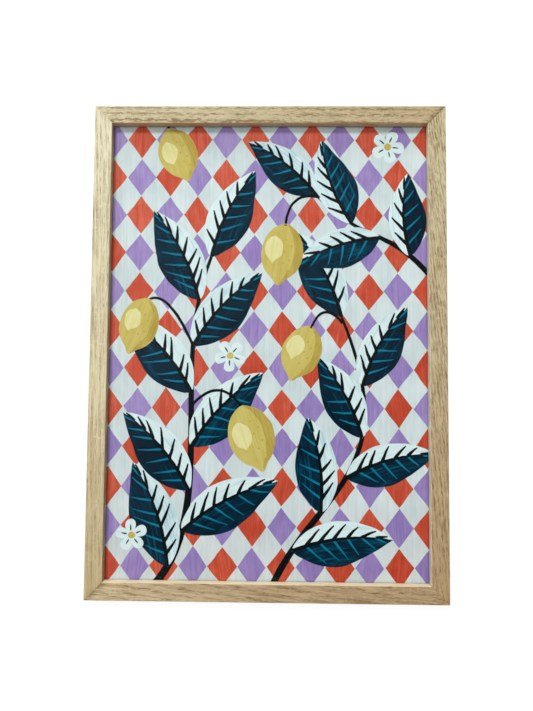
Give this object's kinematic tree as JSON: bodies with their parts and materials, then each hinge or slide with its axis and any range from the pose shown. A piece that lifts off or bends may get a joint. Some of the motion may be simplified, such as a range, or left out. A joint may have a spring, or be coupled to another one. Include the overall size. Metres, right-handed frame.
{
  "type": "framed picture",
  "caption": "Upright rectangular picture in a slim flat-faced oak frame with mitred corners, glazed, with a painted paper sheet, a recessed backing board and a sawtooth hanger.",
  "frame": {"origin": "middle of the frame's back plane, which the picture lies on", "axes": "+X to the picture's right, +Y to the picture's top, +Z out of its front face"},
  "size_m": [0.317, 0.44, 0.02],
  "materials": {
    "oak": "pale natural oak, clear satin finish, open straight to wavy grain",
    "glazing": "clear low-reflection picture glass, polished",
    "painted_paper": "matt gouache on heavy paper, visible brush marks",
    "fibreboard": "smooth brown hardboard, matt",
    "steel": "zinc-plated, satin"
  },
  "bodies": {
    "root": {"rail_left": "oak", "rail_right": "oak", "rail_bottom": "oak", "rail_top": "oak", "glazing": "glazing", "picture_sheet": "painted_paper", "backing_board": "fibreboard", "tab_left_1": "steel", "tab_left_2": "steel", "tab_left_3": "steel", "tab_right_1": "steel", "tab_right_2": "steel", "tab_right_3": "steel", "tab_bottom_1": "steel", "tab_bottom_2": "steel", "tab_top_1": "steel", "tab_top_2": "steel", "hanger": "steel", "hanger_rivet_1": "steel", "hanger_rivet_2": "steel"}
  },
  "joints": []
}
